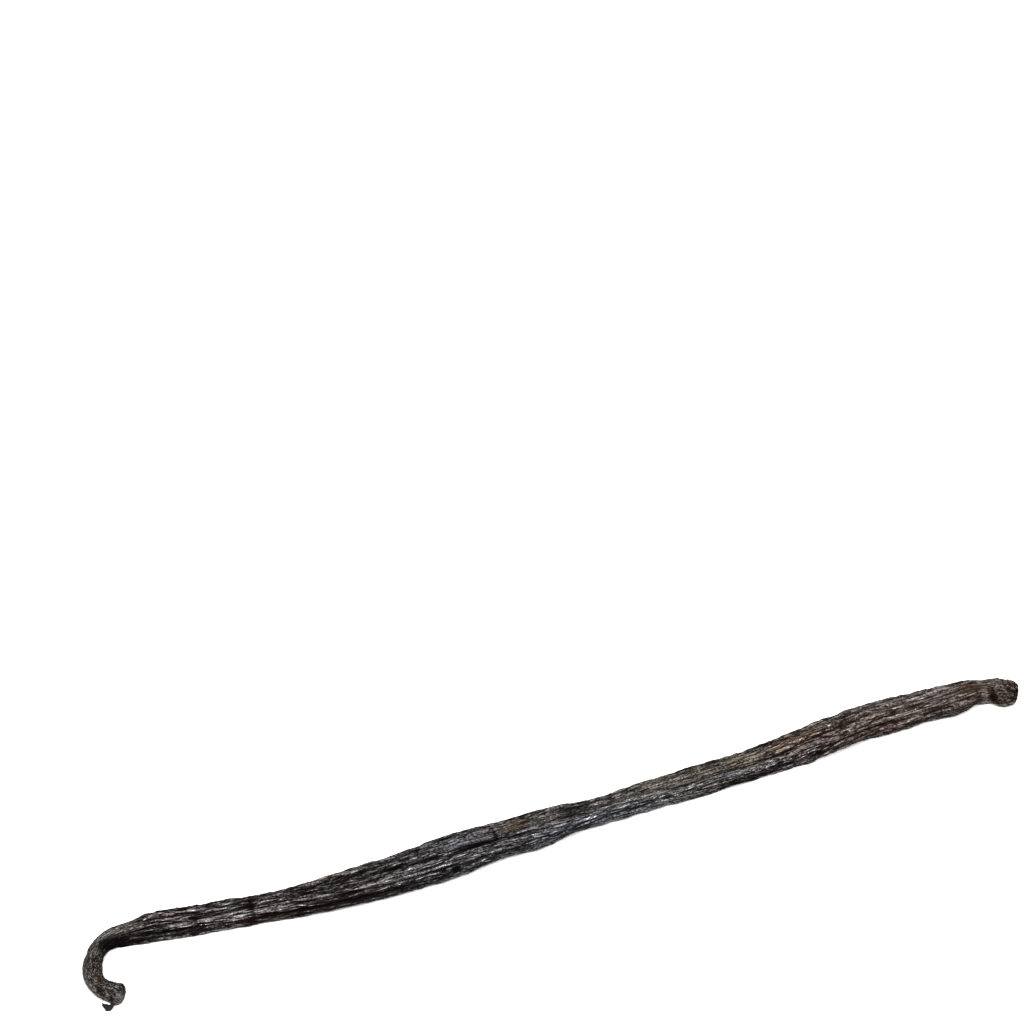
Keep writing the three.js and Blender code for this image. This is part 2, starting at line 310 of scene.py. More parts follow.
rod = coordinates(pod.data)
ring_count = (RING_CUTS[0] + 1) * (RING_CUTS[1] + 1) + 1
body_count = ring_count - 2 * END_RINGS
ring_places = np.concatenate(
    [
        end_places(STALK_DOME),
        np.linspace(STALK_DOME["length"], LENGTH - TIP_DOME["length"], body_count),
        LENGTH - end_places(TIP_DOME)[::-1],
    ]
)
ring = np.rint(rod[:, 0] / (LENGTH * MM) * (ring_count - 1)).astype(int)
centre = np.hypot(rod[:, 1], rod[:, 2]) < ROD_RADIUS * MM / 2
s = np.where(centre, np.where(ring > 0, LENGTH, 0), ring_places[ring])
phi = np.arctan2(rod[:, 2], rod[:, 1])
close = closing(s, STALK_DOME) * closing(LENGTH - s, TIP_DOME)
print(ring_count, "rings,", body_count, "of them on the body")


# %% [markdown]
# ## Folds, furrows and swellings
#
# A fresh pod is a smooth three-sided bean. As it cures it shrinks, and its skin folds along the
# length between the three edges. The folds are crests with sharp valleys: the size of a sine,
# without its sign, has that form. Some furrows are deeper than the rest and are placed one by
# one, and so are the dents and swellings that make the outline uneven.

# %% Relief that the solid has too
FOLDS = [  # how many round the pod, depth, sideways waver and its pitch, start
    (7, 0.3, 0.9, 71, 0.4),
    (12, 0.2, 1.3, 43, 2.1),
]
SWELL_SHARE = 0.35  # a fold gets so much higher and lower along the pod
SWELL_PITCH_SHARE = 0.6
FOLDED = [  # how much of the folds and furrows there is along the pod
    (0, 0.1), (12, 0.4), (22, 1), (150, 1), (160, 0.6), (163, 0.15), (LENGTH, 0.1),
]
FURROWS = [  # from, to, first angle, last angle, width in degrees, depth
    (9, 36, 178, 192, 13, 0.55),  # hollow under the neck
    (14, 36, 126, 104, 6, 0.42),  # shoulder
    (15, 38, 146, 160, 6, 0.36),  # shoulder edge
    (33, 70, 158, 168, 6, 0.32),  # belly edge
    (39, 67, 124, 140, 7, 0.45),  # belly
    (39, 61, 56, 68, 9, 0.5),  # belly top
    (52, 70, 80, 112, 6, 0.45),  # over the blister
    (66, 87, 103, 122, 6, 0.5),  # under the blister
    (74, 120, 52, 34, 8, 0.42),  # waist top
    (98, 134, 112, 117, 6, 0.32),  # waist
    (132, 163, 149, 136, 6, 0.42),  # tip
    (138, 157, 126, 94, 6, 0.36),  # tip upper
    (128, 161, 88, 72, 7, 0.32),  # tip top
    (20, 96, 4, -14, 8, 0.5),  # long back
    (88, 158, 14, 32, 8, 0.45),  # short back
    (84, 150, 206, 194, 6, 0.3),  # front
]
SWELLINGS = [  # at, over, angle, width in degrees, height
    (7.4, 2.4, 195, 60, 0.5),  # inside of the crook
    (17, 3, 40, 40, -0.22),
    (40.5, 5, 40, 40, -0.25),
    (53.5, 4, 45, 40, 0.28),
    (64.5, 5, 212, 36, -0.08),
    (71.5, 4, 112, 14, 0.3),  # blister
    (76.3, 3, 212, 36, -0.34),
    (82.5, 3.5, 45, 40, -0.22),
    (83, 4.5, 212, 36, 0.24),
    (87.5, 3.5, 45, 40, 0.22),
    (89.5, 4, 212, 36, -0.42),
    (102, 5, 45, 40, 0.24),
    (137.5, 5, 212, 36, -0.24),
    (147, 6, 45, 40, -0.22),
    (159.4, 2.6, 212, 34, -0.36),  # before the knob
]
LUMPS = {"count": 5, "share": 0.07, "from": 162, "full": 164, "slant": 0.8}


def apart(phi, angle, width):
    """How far phi is from an angle in degrees, as a share of a width in degrees."""
    turned = phi - np.radians(angle)
    return np.arctan2(np.sin(turned), np.cos(turned)) / radians(width)


def folds_at(s, phi):
    """Height of the folds over the mean skin."""
    height = 0
    for count, depth, waver, pitch, start in FOLDS:
        phase = waver * np.sin(2 * pi * s / pitch + start) + start
        crest = np.abs(np.sin((count * phi + phase) / 2)) - 2 / pi
        swell = 1 + SWELL_SHARE * np.sin(2 * pi * s / (SWELL_PITCH_SHARE * pitch) + start)
        height = height + depth * swell * crest
    return height


def furrows_at(s, phi, furrows):
    """Depth of single furrows."""
    sunk = 0
    for first, last, angle0, angle1, width, depth in furrows:
        t = np.clip((s - first) / (last - first), 0, 1)
        across = apart(phi, angle0 + (angle1 - angle0) * t, width)
        sunk = sunk + depth * np.sin(pi * t) * np.exp(-across * across)
    return sunk


def marks_at(s, phi, marks):
    """Sum of round marks, such as swellings and dents."""
    height = 0
    for at, over, angle, width, amount in marks:
        across = apart(phi, angle, width)
        height = height + amount * np.exp(-(((s - at) / over) ** 2) - across * across)
    return height


def relief_at(s, phi):
    """Height of the folds and furrows together."""
    return through(FOLDED, s) * (folds_at(s, phi) - furrows_at(s, phi, FURROWS))


def plain_radius(s, phi):
    """The radius of the solid's section, before the fine wrinkles."""
    edge = through(EDGE_SHARE, s) * np.cos(EDGES * (phi - radians(EDGE_ANGLE)))
    swollen = LUMPS["share"] * ease((s - LUMPS["from"]) / (LUMPS["full"] - LUMPS["from"]))
    lumps = swollen * np.sin(LUMPS["count"] * phi + LUMPS["slant"] * s)
    swellings = marks_at(s, phi, SWELLINGS)
    return through(HALF_WIDTH, s) * (1 + edge + lumps) + relief_at(s, phi) + swellings


plain = plain_radius(s, phi)
print("plain section: radius", round(plain.min(), 2), "to", round(plain.max(), 2), "mm")


# %% [markdown]
# ## Wrinkles
#
# Between the folds the skin is covered with wrinkles half a millimetre wide that run along the
# pod, waver, meet and part again. Noise that is stretched along the pod makes them: its size
# without its sign is zero along thin wandering lines, which become the sharp valleys. The noise
# is read on a round rod in space, so it closes round the pod without a seam. A slower noise
# pushes the pattern sideways first, so that no wrinkle runs straight.

# %% Noise stretched along the pod
SEED_SHIFT = np.array([7.3, 3.1, 5.7])  # each seed reads the noise at another place
SEED_START = 0.37
WANDER = [  # how the wrinkles wander sideways: length, width, how far, seed
    (12, 2.2, 0.5, 1),
    (2.6, 0.8, 0.1, 2),
]


def grain(s, phi, along, around, seed):
    """Noise from about -1 to 1, with marks of these lengths along and round the pod."""
    reach = ROD_RADIUS / around
    points = np.column_stack([s / along, reach * np.cos(phi), reach * np.sin(phi)])
    points += SEED_SHIFT * (seed + SEED_START)
    return np.array([noise.noise(point) for point in points.tolist()])


wander = sum(far * grain(s, phi, length, width, seed) for length, width, far, seed in WANDER)
wander /= ROD_RADIUS
print("wrinkles wander by up to", round(np.degrees(np.abs(wander).max())), "degrees")


# %% Where the skin is rough or smooth
ROUGHNESS = [  # rough and smooth places of the skin: at, over, angle, width in degrees, amount
    (26, 9, 130, 22, 0.35),
    (50, 12, 118, 40, 0.35),
    (94, 14, 134, 18, 0.5),
    (132, 16, 128, 45, 0.5),
    (70, 5, 80, 22, -0.55),  # blister
    (79, 4, 74, 20, -0.45),
    (105, 9, 84, 30, -0.35),
    (115, 2.2, 127, 14, -0.6),
    (28, 12, 186, 24, -0.35),
    (62, 22, 190, 26, -0.55),
    (98, 14, 188, 28, -0.65),
    (152, 6, 186, 22, -0.4),
]
WRINKLED = [
    (0, 0.15), (12, 0.3), (19, 0.85), (36, 0.85), (48, 0.7), (66, 0.7), (84, 0.7), (150, 0.7),
    (161, 0.6), (LENGTH, 0.1),
]
PATCHY = {"along": 14, "around": 2.5, "amount": 0.25, "seed": 3}
ROUGH_LIMITS = (0.15, 1.8)

patches = PATCHY["amount"] * grain(s, phi, PATCHY["along"], PATCHY["around"], PATCHY["seed"])
rough = np.clip(1 + marks_at(s, phi, ROUGHNESS) + patches, *ROUGH_LIMITS)
rough = rough * through(WRINKLED, s)
print("roughness of the skin", round(rough.min(), 2), "to", round(rough.max(), 2))


# %% Coarse and fine wrinkles
WRINKLES = [  # length, width, height (below zero: sharp crests instead of valleys), seed
    (9, 1.1, 0.05, 11),
    (4.5, 0.5, 0.075, 12),
    (3.2, 0.4, -0.045, 14),
]
FINE_WRINKLES = [(2, 0.27, 0.05, 13), (1, 0.25, -0.03, 15)]
FINELY_WRINKLED = [(0, 0.3), (14, 0.6), (24, 1), (160, 1), (163, 0.1), (LENGTH, 0.1)]
LEAST_FINE = 0.4  # smooth skin keeps this much of the fine wrinkles
RIDGE_POWER = 0.8  # below 1, the valleys get sharper
CROSS_GRAIN = {"along": 0.6, "around": 0.5, "height": 0.035, "seed": 21}
UNEVEN = {"along": 9, "around": 1.9, "height": 0.07, "seed": 22}
SCALY = {"along": 0.95, "around": 0.36, "height": 0.1, "seed": 23}
SCALY_STALK = [(0, 1), (13, 1), (19, 0.1), (30, 0), (LENGTH, 0)]
SHRUNK = 0.09  # the solid's outline runs over the crests, so the mean skin lies under it


def ridges(sizes):
    """The sum of some sizes of wrinkles."""
    total = np.zeros(len(s))
    for length, width, height, seed in sizes:
        ridge = np.abs(grain(s, phi + wander, length, width, seed)) ** RIDGE_POWER
        total += height * (ridge - ridge.mean()) / ridge.std()
    return total


cross = grain(s, phi + wander, CROSS_GRAIN["along"], CROSS_GRAIN["around"], CROSS_GRAIN["seed"])
uneven = grain(s, phi, UNEVEN["along"], UNEVEN["around"], UNEVEN["seed"])
scaly = grain(s, phi + wander, SCALY["along"], SCALY["around"], SCALY["seed"])
finely = (LEAST_FINE + (1 - LEAST_FINE) * rough) * through(FINELY_WRINKLED, s)
wrinkles = rough * (ridges(WRINKLES) + CROSS_GRAIN["height"] * cross)
wrinkles += finely * ridges(FINE_WRINKLES)
wrinkles += through(FOLDED, s) * (UNEVEN["height"] * uneven - SHRUNK)
wrinkles += through(SCALY_STALK, s) * SCALY["height"] * scaly
print("wrinkles from", round(wrinkles.min(), 2), "to", round(wrinkles.max(), 2), "mm")


# %% [markdown]
# ## Single creases, pits and dents
#
# Some marks are this pod's own. Long creases open and close between the folds, and one of them
# is the deep crevice beside the blister: they are drawn as narrow furrows, each with its own
# ends and angles. Pits, knots of skin and the crack across the blister's end are small round or
# long marks. Shallow dents and bumps along the two edges make the pod's outline uneven.

# %% This pod's own marks
CREASE_DEPTH = 1.15  # of the depths that follow
CREASE_WANDER = 0.35  # creases follow this much of the wrinkles' wandering
CREASES = [  # from, to, first angle, last angle, width in degrees, depth
    (15, 35, 124, 104, 3.4, 0.4),
    (17, 36, 148, 159, 3.2, 0.35),
    (19, 29, 82, 78, 3, 0.22),
    (34, 66, 163, 166, 2.8, 0.3),
    (40, 50, 122, 131, 4, 0.35),
    (48, 58, 130, 138, 5, 0.4),
    (42, 54, 66, 72, 6, 0.35),
    (54, 68, 81, 110, 3.6, 0.45),
    (56, 67, 122, 128, 3, 0.3),
    (54, 70, 138, 146, 3.5, 0.3),
    (67.5, 76.5, 103, 108, 6.5, 0.55),
    (74, 83, 109, 119, 3.2, 0.45),
    (68, 72.5, 86, 92, 2.2, 0.2),
    (70.5, 74.5, 79, 82, 2, 0.16),
    (81, 87, 121, 118, 3.2, 0.3),
    (86, 90, 96, 99, 5, 0.3),
    (94, 103, 118, 124, 3, 0.25),
    (120, 131, 116, 111, 3.6, 0.38),
    (134, 148, 147, 149, 3.2, 0.42),
    (148, 155, 153, 146, 3, 0.35),
    (153, 162, 141, 136, 3, 0.35),
    (143, 154, 119, 96, 2.8, 0.35),
    (144, 153, 92, 80, 2.8, 0.25),
    (134, 143, 97, 93, 2.6, 0.22),
    (136, 146, 62, 66, 3, 0.3),
]
PITS = [  # at, over, angle, width in degrees, amount
    (15.4, 1.5, 152, 22, -0.35),  # hollow where the stalk turns into the pod
    (35.7, 0.7, 96, 22, -0.2),  # pinch across the shoulder
    (67.6, 0.55, 156, 9, -0.32),  # pit on the belly's edge
    (67.2, 0.9, 145, 5, -0.2),
    (75.5, 0.22, 88, 26, -0.28),  # crack across the blister's end
    (135.4, 0.6, 128, 16, -0.26),  # pinch near the tip
    (3.2, 0.5, 38, 16, -0.38),  # pit on the stalk
    (119.6, 0.6, 152, 12, 0.2),  # knots of skin on the edge
    (121.3, 0.5, 156, 10, 0.18),
    (127.8, 1.4, 166, 6, 0.2),
    (160.9, 0.6, 146, 26, 0.24),  # collar before the knob
    (165, 2, 206, 30, -0.28),
    (162.2, 1.4, 45, 50, 0.1),  # the knob's top is level with the pod
    (164.8, 1.7, 45, 45, -0.3),
    (166.8, 1, 60, 45, 0.2),
    (0.4, 0.5, 70, 22, 0.16),  # lip of the stalk's end
]
DENTS = [  # shallow dents and bumps along the pod's two edges, written as the pits are
    (19.2, 1.6, 40, 36, -0.12), (22.3, 2.6, 40, 36, 0.28), (63.5, 4, 42, 36, -0.24),
    (94, 2, 42, 36, -0.15), (110.5, 8, 42, 36, 0.2), (130.5, 2.5, 42, 36, -0.2),
    (159.5, 3, 42, 40, -0.27), (19, 3, 213, 36, -0.2), (43, 5, 213, 36, 0.15),
    (72, 3, 213, 36, -0.25), (111, 5, 213, 36, 0.23), (128.5, 1.6, 213, 36, 0.2),
    (150.5, 3, 213, 36, -0.23),
]

creases = CREASE_DEPTH * furrows_at(s, phi + CREASE_WANDER * wander, CREASES)
pits = marks_at(s, phi, PITS)
dents = marks_at(s, phi, DENTS)
print(len(CREASES), "creases,", len(PITS), "pits and knots,", len(DENTS), "dents and bumps")


# %% [markdown]
# ## The knob and the two ends
#
# The flower's dried remains fall off the tip and leave a knob with a groove behind it and a
# scar on its face. The stalk broke off the vine and ends in a blunt, slightly hollow face with a
# rim. Both faces are shaped along the pod's axis: a ring's share of closing says how near the
# middle of the face it is.

# %% Shape the knob and the end faces
KNOB = {"from": 161.5, "over": 1.5}
KNOB_GROOVE = {"at": 162.4, "slant": 0.7, "turned": 20, "over": 0.6, "depth": 0.46}
GROOVE_OPEN = {"angle": 165, "width": 45, "elsewhere": 0.2}  # deep on one side only
KNOB_SWELL = {"at": 164.9, "over": 1.5, "height": 0.22}
KNOB_CRUST = [(0.9, 0.8, 0.42, 31), (0.42, 0.4, 0.2, 32)]  # length, width, height, seed
CRUST_SUNK = 0.06
KNOB_LUMPS = {"along": 2, "around": 1.6, "height": 0.1, "seed": 33}
SCAR = {"depth": 0.38, "reach": 0.62}
STALK_FACE = {"depth": 0.08, "reach": 0.7}
FACE_CRUST = {"along": 1, "around": 1, "height": 0.2, "seed": 34}
FACE_DEPTH = 40  # the noise runs on over a face as over so many millimetres of skin
FACE_RIM = 0.98

groove_at = KNOB_GROOVE["at"] - KNOB_GROOVE["slant"] * np.cos(phi - radians(KNOB_GROOVE["turned"]))
groove = KNOB_GROOVE["depth"] * np.exp(-(((s - groove_at) / KNOB_GROOVE["over"]) ** 2))
opened = np.exp(-apart(phi, GROOVE_OPEN["angle"], GROOVE_OPEN["width"]) ** 2)
groove *= GROOVE_OPEN["elsewhere"] + (1 - GROOVE_OPEN["elsewhere"]) * opened
crust = sum(height * np.abs(grain(s, phi, *size, seed)) for *size, height, seed in KNOB_CRUST)
lumpy = grain(s, phi, KNOB_LUMPS["along"], KNOB_LUMPS["around"], KNOB_LUMPS["seed"])
swell = KNOB_SWELL["height"] * np.exp(-(((s - KNOB_SWELL["at"]) / KNOB_SWELL["over"]) ** 2))
knob = ease((s - KNOB["from"]) / KNOB["over"])
ends = knob * (crust - CRUST_SUNK + KNOB_LUMPS["height"] * lumpy) + swell - groove

scar = SCAR["depth"] * (1 - ease(close / SCAR["reach"])) * (s > LENGTH / 2)
stalk_face = STALK_FACE["depth"] * (1 - ease(close / STALK_FACE["reach"])) * (s < LENGTH / 2)
over_face = s + FACE_DEPTH * close
crumbly = grain(over_face, phi, FACE_CRUST["along"], FACE_CRUST["around"], FACE_CRUST["seed"])
face_crust = (close < FACE_RIM) * FACE_CRUST["height"] * crumbly * close
shift_along = np.where(centre, 0, face_crust) + stalk_face - scar
print("scar on the knob", SCAR["depth"], "mm deep")


# %% [markdown]
# ## Bend the rod into the pod
#
# The middle line is a walk: start at the stalk's end, look along the first heading, and turn as
# the bends say. A Curve modifier could do this too, but the walk is the same sum as in the
# solid's drawing, so the skin lands exactly on it. The pod's own weight presses its underside
# flat: what would be under the table is laid on it.

# %% Walk the middle line and set the sections across it
WALK_STEP = 0.1
HEIGHT_STATIONS = 400


def heading_at(s):
    """The direction of the middle line at s, in radians."""
    turned = sum(turn * ease((s - at) / over + 0.5) for at, over, turn in BENDS)
    return np.radians(FIRST_HEADING + turned)


steps = np.arange(round(LENGTH / WALK_STEP))
headings = heading_at((steps + 0.5) * WALK_STEP)
walk_s = np.append(steps, len(steps)) * WALK_STEP
walk_x = STALK_END.x + np.append(0, np.cumsum(np.cos(headings)) * WALK_STEP)
walk_y = STALK_END.y + np.append(0, np.cumsum(np.sin(headings)) * WALK_STEP)


def middle_height_at(places):
    """How high the middle line runs, so that the section stands on its underside."""
    around = 2 * pi * np.arange(SIDES) / SIDES
    lowest = [
        np.min(plain_radius(np.full(SIDES, place), around) * np.sin(around)) for place in places
    ]
    return through(UNDERSIDE, places) - np.array(lowest) * through(FLATNESS, places)


height_places = np.linspace(0, LENGTH, HEIGHT_STATIONS)
middle_height = np.interp(s, height_places, middle_height_at(height_places))
radius = plain + wrinkles - creases + pits + dents + ends
radius = np.where(centre, 0, radius) * close
left = radius * np.cos(phi)
up = radius * np.sin(phi) * through(FLATNESS, s)

heading = heading_at(s)
x = np.interp(s, walk_s, walk_x) - np.sin(heading) * left + np.cos(heading) * shift_along
y = np.interp(s, walk_s, walk_y) + np.cos(heading) * left + np.sin(heading) * shift_along
z = np.maximum(0, middle_height + up)
pod.data.vertices.foreach_set("co", (np.column_stack([x, y, z]) * MM).ravel())
pod.data.update()
print("pod:", [round(float(np.ptp(part)), 1) for part in (x, y, z)], "mm")


# %% [markdown]
# ## What the skin remembers
#
# The finish follows the skin round its bends. So each point keeps, as attributes, the place that
# it had on the straight rod, and how far it stands out from the skin round it: once among the
# folds, and once among the fine wrinkles. What it is compared with is the relief averaged over
# the rings and sides beside it. The material reads these, and no pattern slides or shows a seam.

# %% Store the skin's own coordinates and its relief
FOLD_REACH = (6, 7)  # rings and sides to each side that the average takes in
WRINKLE_REACH = (2, 3)
AVERAGE_PASSES = 2


def smoothed(values, rings, sides):
    """Values of the rod averaged over so many rings and sides to each side."""
    grid = values[order].reshape(ring_count, SIDES)
    for _ in range(AVERAGE_PASSES):
        grid = sum(np.roll(grid, step, axis=1) for step in range(-sides, sides + 1))
        grid = grid / (2 * sides + 1)
        padded = np.pad(grid, ((rings, rings), (0, 0)), mode="edge")
        grid = sum(padded[step : step + ring_count] for step in range(2 * rings + 1))
        grid = grid / (2 * rings + 1)
    result = values.copy()
    result[order] = grid.ravel()
    return result


order = np.lexsort((np.rint(phi * SIDES / (2 * pi)), ring))
order = order[~centre[order]]
fine = wrinkles - creases + pits + ends
relief = relief_at(s, phi) + fine
stands = relief - smoothed(relief, *FOLD_REACH)
stands_fine = fine - smoothed(fine, *WRINKLE_REACH)


def store(mesh, name, values, kind="FLOAT"):
    """Keeps a value for each point, under a name that the material can read."""
    kept = mesh.attributes.new(name, kind, "POINT")
    field = "vector" if kind == "FLOAT_VECTOR" else "value"
    kept.data.foreach_set(field, np.asarray(values, np.float32).ravel())


drifted = phi + wander
on_rod = np.column_stack([s, ROD_RADIUS * np.cos(drifted), ROD_RADIUS * np.sin(drifted)]) * MM
store(pod.data, "on_rod", on_rod, "FLOAT_VECTOR")
# from these the material paints shade into the low places, and puts gloss on the high ones
store(pod.data, "stands", stands)
store(pod.data, "stands_fine", stands_fine)
spread = [np.percentile(values, (10, 50, 90)).round(3).tolist() for values in (stands, stands_fine)]
print("stands out, the lowest, middle and highest tenths:", spread, "mm")


# %% [markdown]
# ## Shader maths as plain expressions
#
# A finish is a small sum of masks. Written with nodes, `1 - mask * 0.5` takes two boxes and
# three wires. The class below wraps a socket, so that the sum can be written as it is thought,
# and every operator adds its Math node. All other nodes come from one method.

# %% A class for sockets
class Wire:
    """A socket of the material that is being made. Maths on wires adds Math nodes."""

    tree = None  # where new nodes go

    def __init__(self, socket):
        self.socket = socket

    @classmethod
    def node(cls, kind, settings=None, inputs=None, output=0):
        """Adds any node: first its settings, then the values or wires of its sockets."""
        made = cls.tree.nodes.new(kind)
        for name, value in (settings or {}).items():
            setattr(made, name, value)
        cls.feed(made, inputs or {})
        return cls(made.outputs[output])

    @classmethod
    def feed(cls, node, inputs):
        """Gives the sockets of a node their values or wires."""
        for name, value in inputs.items():
            if isinstance(value, Wire):
                cls.tree.links.new(value.socket, node.inputs[name])
            else:
                node.inputs[name].default_value = value

    @classmethod
    def math(cls, operation, *values):
        """Adds a Math node."""
        return cls.node("ShaderNodeMath", {"operation": operation}, dict(enumerate(values)))

    def __add__(self, other):
        return self.math("ADD", self, other)

    def __sub__(self, other):
        return self.math("SUBTRACT", self, other)

    def __rsub__(self, other):
        return self.math("SUBTRACT", other, self)

    def __mul__(self, other):
        return self.math("MULTIPLY", self, other)

    def __pow__(self, other):
        return self.math("POWER", self, other)

    __radd__ = __add__
    __rmul__ = __mul__

    def between(self, low, high):
        """0 at low, 1 at high, and smooth between them."""
        limits = {"Value": self, "From Min": low, "From Max": high}
        return self.node("ShaderNodeMapRange", {"interpolation_type": "SMOOTHSTEP"}, limits)

    def ranging(self, least, most):
        """The least where a mask is 0, and the most where it is 1."""
        return least + (most - least) * self


def mix(share, first, second):
    """Two colours mixed by a share from 0 to 1."""
    first, second = (c if isinstance(c, Wire) else (*c, 1) for c in (first, second))
    inputs = {0: share, 6: first, 7: second}
    return Wire.node("ShaderNodeMix", {"data_type": "RGBA"}, inputs, output=2)


def dimmed(amount, mask):
    """A factor that takes off so much where a mask is 0, and nothing where it is 1."""
    return 1 - amount * (1 - mask)


def attribute(name, output="Fac"):
    """What the mesh keeps under a name."""
    return Wire.node("ShaderNodeAttribute", {"attribute_name": name}, output=output)


def stretched(place, along, around, seed):
    """A place on the pod measured in marks of these lengths, in millimetres."""
    scale = (1 / (along * MM), 1 / (around * MM), 1 / (around * MM))
    inputs = {0: place, 1: scale, 2: (seed, seed, seed)}
    return Wire.node("ShaderNodeVectorMath", {"operation": "MULTIPLY_ADD"}, inputs)


def speckle(place, along, around, seed, detail=3):
    """Noise from 0 to 1 on the skin, with marks of these lengths, in millimetres."""
    inputs = {"Vector": stretched(place, along, around, seed), "Scale": 1, "Detail": detail}
    return Wire.node("ShaderNodeTexNoise", {}, inputs)


def lines(place, along, around, seed, width):
    """0 on thin wavy lines, where a noise crosses its mean, and 1 between them."""
    level = speckle(place, along, around, seed, detail=2) - 0.5
    return Wire.math("ABSOLUTE", level).between(0, width)


def cells(place, along, around, seed, gap):
    """0 in the gaps of a net of cells with these sizes, and 1 inside each cell."""
    inputs = {"Vector": stretched(place, along, around, seed), "Scale": 1}
    edge = Wire.node("ShaderNodeTexVoronoi", {"feature": "DISTANCE_TO_EDGE"}, inputs)
    return edge.between(0, gap)


print("wires are ready")


# %% [markdown]
# ## The colour zones
#
# The skin is painted nearly black in its furrows, as painted shade. On the crests the sweating
# and drying has left it brown, and the brown differs along the pod: grey and dry on the stalk,
# slate on the belly, olive on the upper faces of the waist, reddish towards the tip, with a few
# amber spots. The slate's blue-grey is partly the skin's own tone and partly a painted
# reflection of its sheen. The zones are masks that a painter would dab on by hand. Each point
# keeps how much it has of each one, and the material mixes them. Three masks say more than a
# colour: `dry` skin is scaly, `spongy` skin is crumbly, and `oily` skin glistens.

# %% Dab the colour zones on the points
ZONES = {  # at, over, angle, width in degrees, amount
    # slate: partly the skin's own blue-grey, partly a painted reflection of its sheen
    "slate_and_painted_sheen": [
        (68, 12, 88, 46, 0.65), (60, 22, 190, 40, 0.7), (92, 14, 156, 50, 1.2),
        (114.6, 2, 128, 16, 1),
    ],
    "olive": [
        (79.5, 4, 76, 30, 0.9), (106, 12, 76, 42, 0.6), (122, 9, 78, 34, 0.9),
        (130, 8, 96, 22, 0.5),
    ],
    "russet": [
        (21, 5, 84, 36, 0.4), (39, 14, 166, 24, 0.45), (126, 7, 84, 30, 0.5),
        (147, 18, 136, 80, 0.8), (163, 5, 120, 90, 0.3),
    ],
    "amber": [
        (4.6, 1.2, 106, 28, 1.1), (78.5, 2, 76, 16, 0.6), (127, 6, 84, 22, 0.5),
        (159.3, 1.8, 96, 26, 1.1),
    ],
    "dry": [(4, 11.5, 120, 200, 1.1)],
    "spongy": [(166.5, 3.6, 120, 200, 1.2)],
    "oily": [
        (27, 9, 132, 14, 0.8), (60, 8, 132, 10, 0.3), (97, 15, 138, 18, 0.85),
        (125, 14, 150, 20, 0.9), (148, 16, 120, 50, 0.25),
    ],
}

for zone, dabs in ZONES.items():
    store(pod.data, zone, np.clip(marks_at(s, phi, dabs), 0, 1))
print("zones:", ", ".join(ZONES))


# %% How dark the painted shade in the valleys and the lines are
LINES_AND_VALLEY_SHADE = [  # along the pod
    (0, 0.6), (20, 0.9), (62, 0.85), (80, 0.72), (95, 0.55), (125, 0.75), (145, 0.62),
    (LENGTH, 0.7),
]
# places with less painted shade in the valleys, and fainter lines
FAINTER_LINES_AND_VALLEY_SHADE = [  # places with paler valleys, written as the zones are
    (30, 12, 128, 14, -0.5), (52, 12, 131, 12, -0.45), (93, 12, 130, 14, -0.4),
    (72, 4, 82, 24, -0.7), (79.5, 3.5, 76, 22, -0.6), (103, 11, 86, 34, -0.45),
    (90, 16, 190, 24, -0.6),
]
RUGGED_LEAST = 0.3  # where the skin has no wrinkles
RUGGED_MOST = 1.3

wrinkled = np.clip(RUGGED_LEAST + (1 - RUGGED_LEAST) * rough, 0, RUGGED_MOST)
# how strong the painted shade in the valleys and the dark lines are at each point
lines_and_valley_shade_amount = through(LINES_AND_VALLEY_SHADE, s) * wrinkled * (1 + marks_at(s, phi, FAINTER_LINES_AND_VALLEY_SHADE))
store(pod.data, "lines_and_valley_shade", lines_and_valley_shade_amount)
print("lines_and_valley_shade_amount", round(lines_and_valley_shade_amount.min(), 2), "to", round(lines_and_valley_shade_amount.max(), 2))


# %% [markdown]
# ## Paler and darker stretches, with painted light and shade
#
# Where the skin was rubbed, pressed or soaked with its own oil, it dried paler or darker. The
# same rows and dabs also paint light and shade into the colour: painted shade low down, in the
# hollow under the neck and along the lower edges, and painted highlights on bright crests along
# the side. The broad changes are written as three rows along the pod: on its upper face, along
# its side, and low down. They blend into each other round the pod. Single places are dabbed on
# top of them, and one attribute keeps what comes of both.

# %% Wash the skin paler and darker, with painted shade and painted highlights
# The rows hold painted light besides the skin's own tone: the row low down, at 166 degrees, is mostly
# painted shade, and the row along the side, at 123 degrees, holds painted highlights.
BROAD_TONES_AND_PAINTED_LIGHT = {  # how pale the skin is along the pod, at three angles round it
    86: [
        (0, 1), (20, 1.35), (43, 0.34), (57, 0.55), (67, 1), (82, 0.37), (98, 0.24), (112, 0.6),
        (123, 2), (136, 0.64), (152, 1.5), (LENGTH, 0.22),
    ],
    123: [
        (0, 1), (18, 0.2), (27, 2.5), (37, 0.8), (60, 1.1), (73, 0.78), (82, 0.74), (92, 1.05),
        (104, 0.52), (119, 0.88), (150, 1.45), (162, 0.38), (LENGTH, 0.22),
    ],
    166: [
        (0, 1), (14, 0.25), (26, 0.36), (38, 0.07), (58, 0.07), (70, 0.5), (84, 0.2), (97, 0.33),
        (109, 0.4), (117, 0.13), (130, 0.35), (150, 0.38), (LENGTH, 0.12),
    ],
}
BROAD_WIDTH = 18
BACK_WEIGHT = 0.1  # a wash of 1 for the back counts so much beside the rows
TONE_AND_PAINTED_LIGHT_LIMITS = (0.03, 2.6)
